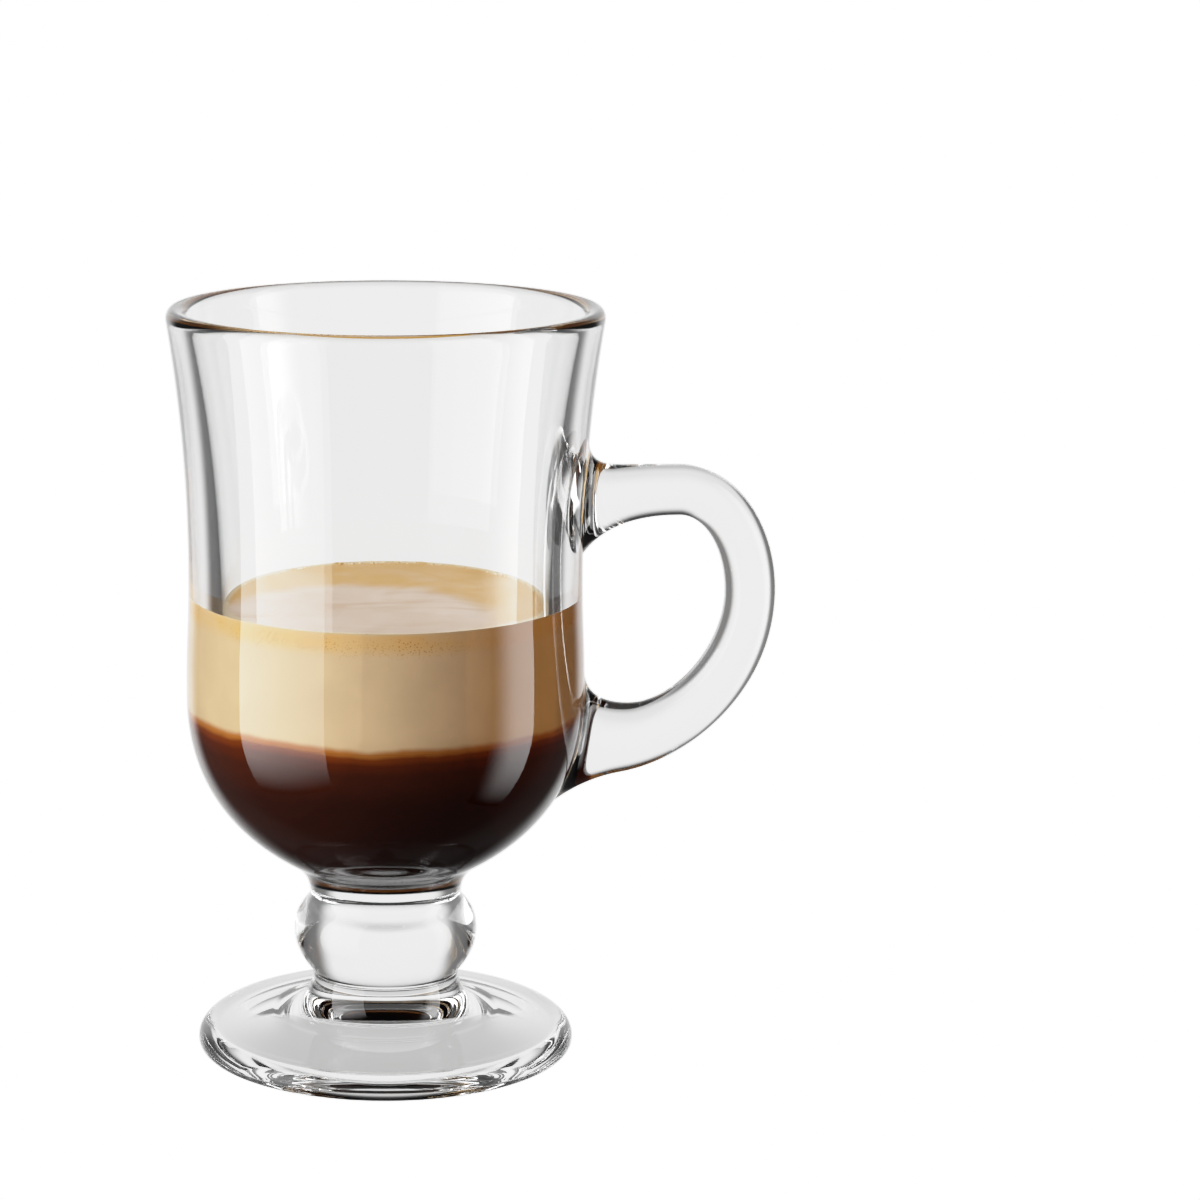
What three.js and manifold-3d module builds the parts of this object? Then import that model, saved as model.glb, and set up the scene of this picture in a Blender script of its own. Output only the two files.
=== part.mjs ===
// A footed glass cup for a macchiato: a flared bowl on a knop stem and a round foot, a strap handle on its
// wall, and the drink in it as two layers. Millimetres, +Z up, the origin on the axis in the plane of the
// ring that it stands on.
import * as THREE from 'three';
import { mergeVertices } from 'three/addons/utils/BufferGeometryUtils.js';
import Module from 'manifold-3d';

// Foot: a thick disc with a rolled upper edge, whose top climbs a little and then sweeps up to the stem
const FOOT_RADIUS = 34.1;
const FOOT_EDGE = 4.9;
const FOOT_LOWER_ROUND = 1.5;
const FOOT_BROW_RUN = 4;
const FOOT_BROW_DROP = 3.2;
const FOOT_RISE = 1.6;
const FOOT_FILLET_RUN = 7;
const FOOT_FILLET_RISE = 7.5;

// Hollow under the foot: a bell whose crown is level in the middle and whose skirt runs out to a flat tread
const FOOT_TREAD = 2.6;
const HOLLOW_RISE = 8.3;
const HOLLOW_CROWN_RUN = 12;
const HOLLOW_SKIRT_RADIUS = 13;
const HOLLOW_SKIRT_HEIGHT = 2.4;

// Stem: a round knop between a lower and an upper neck; fullness is the share of a half's height that stays
// upright
const LOWER_NECK_RADIUS = 13.2;
const UPPER_NECK_RADIUS = 13.65;
const KNOP_RADIUS = 16.5;
const KNOP_LOWER_HALF = 8;
const KNOP_UPPER_HALF = 6.8;
const KNOP_FULLNESS = 0.61;
const LOWER_NECK_FULLNESS = 0.12;
const UPPER_NECK_FULLNESS = 0.24;

// Bowl: each lift is a height above the level before it, from the neck to the underside, belly, waist and rim;
// the wall draws in from the belly to the waist
const UNDERSIDE_RADIUS = 17.8;
const UNDERSIDE_LIFT = 6.4;
const UNDERSIDE_SLOPE = THREE.MathUtils.degToRad(30);
const UNDERSIDE_RUN = 10;
const BELLY_RADIUS = 35.55;
const BELLY_LIFT = 29.8;
const BELLY_RUN = 16;
const WAIST_DRAW = 0.55;
const WAIST_LIFT = 24.5;
const WAIST_FULLNESS = 0.5;
const RIM_RADIUS = 38.5;
const RIM_LIFT = 45.5;
const RIM_WALL = 3.8;
const RIM_CREST = 1.4;
const RIM_ROUND = 1.9;
const BELLY_WALL = 6.35;
const INSIDE_RISE = 24;
const LIP_RUN = 24;
const LIP_FLARE = 3.1;
const FLOOR_THICKNESS = 8.2;

// Handle: a strap in the plane of the cup's axis, with its outermost point at a height above the belly
const HANDLE_LIFT = 19;
const HANDLE_REACH = 33.8;
const HANDLE_DEPTH = 9;
const HANDLE_EDGE_ROUND = 1.8;
const STRAP_WIDTH = 9;
const ARCH_RUN = 17.3;
const ARCH_RISE = 23;
const ARM_DROP = 33;
const ARM_WIDTH = 12.7;
const ARM_SLOPE = THREE.MathUtils.degToRad(10.5);
const ARM_RUN = 13;
const ARM_BEND = 18;
const UPPER_ROOT_FILLET = 4.2;
const UPPER_ROOT_RUN = 6.5;
const LOWER_ROOT_FILLET = 6;
const LOWER_ROOT_RUN = 6.5;
const HANDLE_SEAT_GAP = 0.3;

// Finger gap: the opening that the strap and the bowl's wall leave
const GAP_BEND = 10;
const GAP_FLOOR_RUN = 8;
const GAP_UPPER_CORNER = 7;
const GAP_UPPER_LEAN = 5;
const GAP_LOWER_CORNER = 6.6;

// Drink: coffee on the bowl's floor and milk foam on the coffee
const COFFEE_DEPTH = 25;
const FOAM_DEPTH = 21;
const DRINK_GAP = 0.3;

// Fineness of the turned and the extruded surfaces
const TURN_SEGMENTS = 48;
const CURVE_STEPS = 7;
const ROUND_STEPS = 6;
const STRAP_STEPS = 10;
const EDGE_STEPS = 2;
const SAME_POINT = 1e-6;

// Heights, stacked from the table
const footShoulder = FOOT_EDGE + FOOT_RISE;
const stemBase = footShoulder + FOOT_FILLET_RISE;
const knopMiddle = stemBase + KNOP_LOWER_HALF;
const bowlBase = knopMiddle + KNOP_UPPER_HALF;
const undersideHeight = bowlBase + UNDERSIDE_LIFT;
const bellyHeight = undersideHeight + BELLY_LIFT;
const waistHeight = bellyHeight + WAIST_LIFT;
const rimHeight = waistHeight + RIM_LIFT;
const floorHeight = bowlBase + FLOOR_THICKNESS;
const coffeeLevel = floorHeight + COFFEE_DEPTH;
const foamLevel = coffeeLevel + FOAM_DEPTH;

const CLEAR_GLASS = { color: 0xf2f5f5, roughness: 0.03, metalness: 0, transparent: true, opacity: 0.35 };
const ESPRESSO = { color: 0x2a0f07, roughness: 0.25, metalness: 0 };
const MILK_FOAM = { color: 0xd9bb8c, roughness: 0.65, metalness: 0 };

const QUARTER_TURN = Math.PI / 2;
const HALF_TURN = Math.PI;

const wasm = await Module();
wasm.setup();

function point(radius, height) {
  return new THREE.Vector2(radius, height);
}

// A curve between two upright stretches of an outline.
function swell(from, to, fullnessFrom, fullnessTo) {
  const climb = to.y - from.y;
  const leave = point(from.x, from.y + fullnessFrom * climb);
  const arrive = point(to.x, to.y - fullnessTo * climb);
  return new THREE.CubicBezierCurve(from, leave, arrive, to).getPoints(ROUND_STEPS);
}

// A part of an ellipse between two angles, the short way from the first to the second.
function arc(centre, run, rise, startAngle, endAngle) {
  const backwards = endAngle < startAngle;
  const ellipse = new THREE.EllipseCurve(centre.x, centre.y, run, rise, startAngle, endAngle, backwards);
  return ellipse.getPoints(ROUND_STEPS);
}

// Stretches of an outline in one list, with no point twice in a row.
function joined(...stretches) {
  const points = stretches.flat();
  return points.filter((here, i) => i === 0 || here.distanceTo(points[i - 1]) > SAME_POINT);
}

// An outline that starts and ends on the axis, turned about it.
function turned(points) {
  const closed = [point(0, points[0].y), ...points, point(0, points.at(-1).y)];
  return new THREE.LatheGeometry(joined(closed), TURN_SEGMENTS).rotateX(QUARTER_TURN);
}

// A rising outline moved along its normals, away from the axis for a positive distance.
function offset(points, distance) {
  return points.map((here, i) => {
    const before = points[Math.max(i - 1, 0)];
    const after = points[Math.min(i + 1, points.length - 1)];
    const along = after.clone().sub(before).normalize();
    return point(Math.max(here.x + along.y * distance, 0), here.y - along.x * distance);
  });
}

// The radius of a rising outline at a height.
function radiusAt(points, height) {
  const above = points.findIndex((candidate) => candidate.y >= height);
  const upper = points[above];
  const lower = points[Math.max(above - 1, 0)];
  const share = upper.y > lower.y ? (height - lower.y) / (upper.y - lower.y) : 0;
  return THREE.MathUtils.lerp(lower.x, upper.x, share);
}

// The stretch of a rising outline between two heights, with its ends exactly on them.
function between(points, low, high) {
  const inside = points.filter((candidate) => candidate.y > low && candidate.y < high);
  return [point(radiusAt(points, low), low), ...inside, point(radiusAt(points, high), high)];
}

function solidOf(geometry) {
  geometry.deleteAttribute('normal');
  geometry.deleteAttribute('uv');
  const merged = mergeVertices(geometry);
  const corners = merged.index.array;
  const triVerts = [];
  for (let i = 0; i < corners.length; i += 3) {
    const [a, b, c] = corners.slice(i, i + 3);
    if (a !== b && b !== c && c !== a) triVerts.push(a, b, c);
  }
  const vertProperties = merged.attributes.position.array;
  return new wasm.Manifold(new wasm.Mesh({ numProp: 3, vertProperties, triVerts: new Uint32Array(triVerts) }));
}

function geometryOf(solid) {
  const { vertProperties, numProp, triVerts } = solid.getMesh();
  const geometry = new THREE.BufferGeometry();
  geometry.setAttribute('position', new THREE.BufferAttribute(vertProperties, numProp));
  geometry.setIndex(new THREE.BufferAttribute(triVerts, 1));
  geometry.computeVertexNormals();
  return geometry;
}

function named(name, geometry, look) {
  const mesh = new THREE.Mesh(geometry, new THREE.MeshStandardMaterial(look));
  mesh.name = name;
  return mesh;
}

function footGeometry() {
  const hollow = new THREE.CubicBezierCurve(
    point(0, HOLLOW_RISE),
    point(HOLLOW_CROWN_RUN, HOLLOW_RISE),
    point(HOLLOW_SKIRT_RADIUS, HOLLOW_SKIRT_HEIGHT),
    point(FOOT_RADIUS - FOOT_LOWER_ROUND - FOOT_TREAD, 0),
  );
  const lowerCentre = point(FOOT_RADIUS - FOOT_LOWER_ROUND, FOOT_LOWER_ROUND);
  const lowerRound = arc(lowerCentre, FOOT_LOWER_ROUND, FOOT_LOWER_ROUND, -QUARTER_TURN, 0);
  const browCentre = point(FOOT_RADIUS - FOOT_BROW_RUN, FOOT_EDGE - FOOT_BROW_DROP);
  const brow = arc(browCentre, FOOT_BROW_RUN, FOOT_BROW_DROP, 0, QUARTER_TURN);
  const filletCentre = point(LOWER_NECK_RADIUS + FOOT_FILLET_RUN, stemBase);
  const fillet = arc(filletCentre, FOOT_FILLET_RUN, FOOT_FILLET_RISE, -QUARTER_TURN, -HALF_TURN);
  return turned(joined(hollow.getPoints(CURVE_STEPS), lowerRound, brow, fillet));
}

function stemGeometry() {
  const lowerNeck = point(LOWER_NECK_RADIUS, stemBase);
  const middle = point(KNOP_RADIUS, knopMiddle);
  const upperNeck = point(UPPER_NECK_RADIUS, bowlBase);
  const lowerHalf = swell(lowerNeck, middle, LOWER_NECK_FULLNESS, KNOP_FULLNESS);
  const upperHalf = swell(middle, upperNeck, KNOP_FULLNESS, UPPER_NECK_FULLNESS);
  return turned(joined(lowerHalf, upperHalf));
}

// The outside from the belly up: it draws in to the waist and flares to the rim.
function upperWall() {
  const belly = point(BELLY_RADIUS, bellyHeight);
  const waist = point(belly.x - WAIST_DRAW, waistHeight);
  const rim = point(RIM_RADIUS, rimHeight - RIM_ROUND);
  const flareCorner = point(waist.x, (waist.y + rim.y) / 2);
  const flare = new THREE.QuadraticBezierCurve(waist, flareCorner, rim).getPoints(CURVE_STEPS);
  return joined(swell(belly, waist, WAIST_FULLNESS, WAIST_FULLNESS), flare);
}

// The bowl's outside, from the neck up to where the rim's rounding starts.
function bowlOutside() {
  const neck = point(UPPER_NECK_RADIUS, bowlBase);
  const underside = point(UNDERSIDE_RADIUS, undersideHeight);
  const belly = point(BELLY_RADIUS, bellyHeight);
  const slope = point(Math.cos(UNDERSIDE_SLOPE), Math.sin(UNDERSIDE_SLOPE));
  const filletCorner = point(neck.x, underside.y - (underside.x - neck.x) * Math.tan(UNDERSIDE_SLOPE));
  const leaveUnderside = underside.clone().addScaledVector(slope, UNDERSIDE_RUN);
  const meetBelly = point(belly.x, belly.y - BELLY_RUN);
  const fillet = new THREE.QuadraticBezierCurve(neck, filletCorner, underside).getPoints(ROUND_STEPS);
  const bottom = new THREE.CubicBezierCurve(underside, leaveUnderside, meetBelly, belly);
  return joined(fillet, bottom.getPoints(CURVE_STEPS), upperWall());
}

// The bowl's inside, from the middle of its floor up to the rim. The wall is thickest at the belly.
function bowlInside() {
  const belly = point(BELLY_RADIUS - BELLY_WALL, bellyHeight);
  const lip = point(RIM_RADIUS - RIM_WALL, rimHeight - RIM_ROUND);
  const bottom = new THREE.EllipseCurve(0, belly.y, belly.x, belly.y - floorHeight, -QUARTER_TURN, 0);
  const leaveBelly = point(belly.x, belly.y + INSIDE_RISE);
  const meetLip = point(lip.x - LIP_FLARE, lip.y - LIP_RUN);
  const side = new THREE.CubicBezierCurve(belly, leaveBelly, meetLip, lip);
  return joined(bottom.getPoints(CURVE_STEPS), side.getPoints(2 * CURVE_STEPS));
}

// The rim's crest lies nearer to its outer edge than to its inner one.
function bowlGeometry(outside, inside) {
  const crest = RIM_RADIUS - RIM_CREST;
  const base = rimHeight - RIM_ROUND;
  const outerRound = arc(point(crest, base), RIM_CREST, RIM_ROUND, 0, QUARTER_TURN);
  const innerRound = arc(point(crest, base), RIM_WALL - RIM_CREST, RIM_ROUND, QUARTER_TURN, HALF_TURN);
  return turned(joined(outside, outerRound, innerRound, inside.toReversed()));
}

// The strap's outline, with the finger gap as a hole. Both run into the bowl, whose wall then trims them.
function handleShape(outside) {
  const outermost = point(BELLY_RADIUS + HANDLE_REACH, bellyHeight + HANDLE_LIFT);
  const top = outermost.y + ARCH_RISE;
  const archStart = outermost.x - ARCH_RUN;
  const armHeight = outermost.y - ARM_DROP;
  const armStart = BELLY_RADIUS + LOWER_ROOT_RUN;
  const armClimb = Math.tan(ARM_SLOPE);
  const upperRoot = top + UPPER_ROOT_FILLET;
  const lowerRoot = armHeight - LOWER_ROOT_FILLET;
  const upperRootWall = radiusAt(outside, upperRoot);
  const lowerRootWall = radiusAt(outside, lowerRoot);
  const shape = new THREE.Shape();
  shape.moveTo(0, upperRoot);
  shape.lineTo(upperRootWall, upperRoot);
  shape.quadraticCurveTo(upperRootWall, top, upperRootWall + UPPER_ROOT_RUN, top);
  shape.lineTo(archStart, top);
  shape.absellipse(archStart, outermost.y, ARCH_RUN, ARCH_RISE, QUARTER_TURN, 0, true);
  shape.bezierCurveTo(
    outermost.x, outermost.y - ARM_BEND,
    armStart + ARM_RUN, armHeight + armClimb * ARM_RUN,
    armStart, armHeight,
  );
  shape.quadraticCurveTo(BELLY_RADIUS, armHeight - armClimb * LOWER_ROOT_RUN, lowerRootWall, lowerRoot);
  shape.lineTo(0, lowerRoot);

  const gapTop = top - STRAP_WIDTH;
  const gapOuter = outermost.x - STRAP_WIDTH;
  const gapFloor = armHeight + ARM_WIDTH;
  const gapUpper = gapTop - GAP_UPPER_CORNER;
  const gapLower = gapFloor + GAP_LOWER_CORNER;
  const gapUpperWall = radiusAt(outside, gapUpper);
  const gapLowerWall = radiusAt(outside, gapLower);
  const gapFloorStart = gapLowerWall + GAP_FLOOR_RUN;
  const gap = new THREE.Path();
  gap.moveTo(gapLowerWall - RIM_WALL, gapLower);
  gap.lineTo(gapLowerWall, gapLower);
  gap.quadraticCurveTo(gapLowerWall, gapFloor, gapFloorStart, gapFloor);
  gap.bezierCurveTo(
    gapFloorStart + GAP_FLOOR_RUN, gapFloor,
    gapOuter, outermost.y - GAP_BEND,
    gapOuter, outermost.y,
  );
  gap.absellipse(archStart, outermost.y, ARCH_RUN - STRAP_WIDTH, ARCH_RISE - STRAP_WIDTH, 0, QUARTER_TURN);
  gap.quadraticCurveTo(gapUpperWall + GAP_UPPER_LEAN, gapTop, gapUpperWall, gapUpper);
  gap.lineTo(gapUpperWall - RIM_WALL, gapUpper);
  shape.holes.push(gap);
  return shape;
}

function handleGeometry(outside) {
  const flatDepth = HANDLE_DEPTH - 2 * HANDLE_EDGE_ROUND;
  const strap = new THREE.ExtrudeGeometry(handleShape(outside), {
    depth: flatDepth,
    curveSegments: STRAP_STEPS,
    bevelThickness: HANDLE_EDGE_ROUND,
    bevelSize: HANDLE_EDGE_ROUND,
    bevelOffset: -HANDLE_EDGE_ROUND,
    bevelSegments: EDGE_STEPS,
  });
  strap.rotateX(QUARTER_TURN).translate(0, flatDepth / 2, 0);
  const seat = turned(offset(outside, HANDLE_SEAT_GAP));
  return geometryOf(solidOf(strap).subtract(solidOf(seat)));
}

const outside = bowlOutside();
const inside = bowlInside();
const drinkWall = offset(inside, -DRINK_GAP);

const cup = new THREE.Group();
cup.add(
  named('foot', footGeometry(), CLEAR_GLASS),
  named('stem_knop', stemGeometry(), CLEAR_GLASS),
  named('bowl', bowlGeometry(outside, inside), CLEAR_GLASS),
  named('handle', handleGeometry(outside), CLEAR_GLASS),
  named('coffee', turned(between(drinkWall, drinkWall[0].y, coffeeLevel)), ESPRESSO),
  named('milk_foam', turned(between(drinkWall, coffeeLevel, foamLevel)), MILK_FOAM),
);

export default cup;
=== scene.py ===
"""Dresses a footed glass mug of layered coffee: clear pressed glass, espresso and milk foam."""

import logging
import math
from dataclasses import dataclass
from enum import Enum
from functools import partial, reduce
from typing import Protocol, Sequence

import bpy
import numpy as np
from bpy.types import Material, Node, NodeSocket, NodeTree, Object
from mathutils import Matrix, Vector, noise
from mathutils.geometry import delaunay_2d_cdt


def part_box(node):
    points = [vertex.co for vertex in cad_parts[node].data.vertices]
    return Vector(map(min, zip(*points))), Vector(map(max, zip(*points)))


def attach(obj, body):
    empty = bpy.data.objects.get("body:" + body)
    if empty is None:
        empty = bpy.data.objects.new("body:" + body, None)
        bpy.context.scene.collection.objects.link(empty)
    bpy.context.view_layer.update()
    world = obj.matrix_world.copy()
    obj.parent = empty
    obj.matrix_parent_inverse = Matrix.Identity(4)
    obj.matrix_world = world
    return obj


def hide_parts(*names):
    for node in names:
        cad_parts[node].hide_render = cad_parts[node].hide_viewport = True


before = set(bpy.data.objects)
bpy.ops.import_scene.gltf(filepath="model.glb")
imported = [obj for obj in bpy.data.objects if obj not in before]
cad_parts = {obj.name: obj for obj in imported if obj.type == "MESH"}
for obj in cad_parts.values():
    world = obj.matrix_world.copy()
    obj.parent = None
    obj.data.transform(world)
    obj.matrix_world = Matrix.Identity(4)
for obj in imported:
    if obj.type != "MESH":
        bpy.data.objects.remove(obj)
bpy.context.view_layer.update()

log = logging.getLogger("glass_mug")

MM = 0.001
NEARLY_ZERO = 1e-6
ROUGH_STEPS = 16
BISECTIONS = 40
GLASS_SIDES = 192
JOINT_SPACING = 4.0
WATER_REFRACTION = 1.33
LEVEL_PLANE = (1.0, 1.0, 0.0)
BUBBLE_SIZES = ("Radius", "Level", "Band", "Smallest", "Largest")
WHITE = (1.0, 1.0, 1.0)

Point = tuple[float, float]
Triple = tuple[float, float, float]
Colour = Triple
Loops = Sequence[Sequence[Vector]]
# Where a smooth change starts and ends, and the values there if they aren't 0 and 1
Fade = tuple[float, ...]


class GlassFace(Enum):
    """The faces of a glass piece, by material slot: open to the air, or fused to what it touches."""

    POLISHED = 0
    FUSED = 1


class FoamFace(Enum):
    """The faces of the drink, by material slot: against the glass, or the open top."""

    WALL = 0
    CROWN = 1


class Slot(Enum):
    """The finishes that the record names."""

    GLASS = "clear_glass"
    COFFEE = "espresso"
    FOAM = "milk_foam"


class Curve(Protocol):
    """Anything that gives a point in the plane for a share of the way along it."""

    def at(self, t: float) -> Point:
        """Gives the point at share t of the way."""


class Path:
    """A curve from its first knot to its last, drawn towards the knots between them."""

    def __init__(self, *knots: Point) -> None:
        """Takes the knots in order; two make a straight line."""
        self.knots = knots

    def at(self, t: float) -> Point:
        """Gives the point at a share of the way.

        Args:
            t: The share.

        Returns:
            The point.
        """
        row = self.knots
        while len(row) > 1:
            row = [tuple(p * (1 - t) + q * t for p, q in zip(a, b)) for a, b in zip(row, row[1:])]
        return row[0]


@dataclass(frozen=True)
class Arc:
    """Part of an ellipse, from one angle to another, in degrees."""

    centre: Point
    radii: Point
    first: float
    last: float

    def at(self, t: float) -> Point:
        """Gives the point at a share of the way.

        Args:
            t: The share.

        Returns:
            The point.
        """
        angle = math.radians(self.first + (self.last - self.first) * t)
        across, up = self.radii[0] * math.cos(angle), self.radii[1] * math.sin(angle)
        return (self.centre[0] + across, self.centre[1] + up)


@dataclass(frozen=True)
class Stretch:
    """A part of another curve, walked from one share of it to another."""

    whole: Curve
    first: float
    last: float

    def at(self, t: float) -> Point:
        """Gives the point at share t of the way."""
        return self.whole.at(self.first + (self.last - self.first) * t)


def swell(start: Point, end: Point, start_fullness: float, end_fullness: float) -> Path:
    """Joins two points of a turned profile by a curve that is upright at both ends.

    Args:
        start: Radius and height of the first point.
        end: Radius and height of the last point.
        start_fullness: Share of the rise over which the curve keeps the first radius.
        end_fullness: Share of the rise over which the curve nears the last radius.

    Returns:
        The curve.
    """
    rise = end[1] - start[1]
    lead = (start[0], start[1] + start_fullness * rise)
    draw = (end[0], end[1] - end_fullness * rise)
    return Path(start, lead, draw, end)


def share_at(curve: Curve, value: float, axis: int) -> float:
    """Finds where a curve that only rises or only falls along an axis reaches a value.

    Args:
        curve: The curve.
        value: The radius or height to reach.
        axis: 0 for the radius, 1 for the height.

    Returns:
        The share of the way along the curve.
    """
    low, high = 0.0, 1.0
    rising = curve.at(1)[axis] > curve.at(0)[axis]
    for _ in range(BISECTIONS):
        middle = (low + high) / 2
        if (curve.at(middle)[axis] < value) == rising:
            low = middle
        else:
            high = middle
    return (low + high) / 2


def trace(curve: Curve, spacing: float) -> list[Point]:
    """Walks a curve in even steps of its own share.

    Args:
        curve: The curve to walk.
        spacing: Longest distance between two points, in millimetres.

    Returns:
        The points, both ends included.
    """
    rough = [curve.at(i / ROUGH_STEPS) for i in range(ROUGH_STEPS + 1)]
    length = sum(math.dist(a, b) for a, b in zip(rough, rough[1:]))
    steps = max(2, math.ceil(length / spacing))
    return [curve.at(i / steps) for i in range(steps + 1)]


@dataclass(frozen=True)
class Band:
    """A stretch of a turned profile whose faces are all of one kind."""

    curves: tuple[Curve, ...]
    face: Enum
    spacing: float = JOINT_SPACING


class MeshDraft:
    """Gathers points in millimetres and faces with their kinds, and makes a smooth mesh of them."""

    crease = math.radians(50)

    def __init__(self) -> None:
        """Starts with nothing drawn."""
        self.points: list[Triple] = []
        self.faces: list[list[int]] = []
        self.kinds: list[int] = []

    def point(self, x: float, y: float, z: float) -> int:
        """Adds a point and gives its number."""
        self.points.append((x, y, z))
        return len(self.points) - 1

    def face(self, corners: Sequence[int], kind: Enum) -> None:
        """Adds a face, left out where its corners fall together.

        Args:
            corners: Point numbers, once round.
            kind: Kind of the face.
        """
        distinct = list(dict.fromkeys(corners))
        if len(distinct) > 2:
            self.faces.append(distinct)
            self.kinds.append(kind.value)

    def bridge(
        self, first: list[int], second: list[int], kind: Enum, skip: frozenset[int] = frozenset()
    ) -> None:
        """Joins two closed rings of points by a row of faces.

        Args:
            first: Point numbers of the ring that comes first along the surface.
            second: Point numbers of the next ring.
            kind: Kind of the faces.
            skip: Places in the row where no face is made.
        """
        count = len(first)
        for i in range(count):
            if i not in skip:
                after = (i + 1) % count
                self.face((first[i], first[after], second[after], second[i]), kind)

    def turn(
        self, bands: Sequence[Band], sides: int, holes: dict[int, frozenset[int]] | None = None
    ) -> list[list[int]]:
        """Turns a profile about the upright axis.

        Args:
            bands: The profile, from the lower pole outwards and round to the upper pole.
            sides: Faces in each row.
            holes: For a row's number, the places in it where no face is made.

        Returns:
            The ring of point numbers of each profile point, all the same on the axis.
        """
        angles = [math.tau * i / sides for i in range(sides)]
        rings: list[list[int]] = []
        for band, curve in [(band, curve) for band in bands for curve in band.curves]:
            for radius, height in trace(curve, band.spacing)[1 if rings else 0 :]:
                if radius < NEARLY_ZERO:
                    ring = [self.point(0.0, 0.0, height)] * sides
                else:
                    ring = [self.point(radius * math.cos(a), radius * math.sin(a), height) for a in angles]
                if rings:
                    skip = (holes or {}).get(len(rings) - 1, frozenset())
                    self.bridge(rings[-1], ring, band.face, skip)
                rings.append(ring)
        return rings

    def build(self, name: str, materials: Sequence[Material]) -> Object:
        """Makes the mesh in metres, shaded smooth, with creases at corners and between kinds of face.

        Args:
            name: The piece's name.
            materials: One material for each kind of face.

        Returns:
            The new object, linked to the scene.
        """
        used = sorted({number for face in self.faces for number in face})
        place = {number: i for i, number in enumerate(used)}
        points = [tuple(c * MM for c in self.points[number]) for number in used]
        mesh = bpy.data.meshes.new(name)
        mesh.from_pydata(points, [], [[place[number] for number in face] for face in self.faces])
        for material in materials:
            mesh.materials.append(material)
        mesh.polygons.foreach_set("material_index", self.kinds)
        mesh.polygons.foreach_set("use_smooth", [True] * len(self.faces))
        meeting: dict[tuple[int, int], list[bpy.types.MeshPolygon]] = {}
        for polygon in mesh.polygons:
            for key in polygon.edge_keys:
                meeting.setdefault(key, []).append(polygon)
        for edge in mesh.edges:
            one, other = meeting[edge.key]
            folded = one.normal.angle(other.normal, 0.0) > self.crease
            edge.use_edge_sharp = folded or one.material_index != other.material_index
        mesh.update()
        return linked(name, mesh)


def linked(name: str, data: bpy.types.ID, hidden: Sequence[str] = ()) -> Object:
    """Makes an object and links it to the scene.

    Args:
        name: The object's name.
        data: Its mesh, lamp or camera.
        hidden: The kinds of ray that don't see it.

    Returns:
        The object.
    """
    piece = bpy.data.objects.new(name, data)
    bpy.context.scene.collection.objects.link(piece)
    for ray in hidden:
        setattr(piece, f"visible_{ray}", False)
    return piece


def turned_piece(name: str, bands: Sequence[Band], sides: int, materials: Sequence[Material]) -> Object:
    """Makes a piece that is turned about the upright axis.

    Args:
        name: The piece's name.
        bands: Its profile, from the lower pole outwards and round to the upper pole.
        sides: Faces in each row.
        materials: One material for each kind of face.

    Returns:
        The piece.
    """
    draft = MeshDraft()
    draft.turn(bands, sides)
    return draft.build(name, materials)


@dataclass(frozen=True)
class Grain:
    """The fineness of a cloudy pattern."""

    scale: float
    detail: float = 2.0
    distortion: float = 0.0


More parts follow.
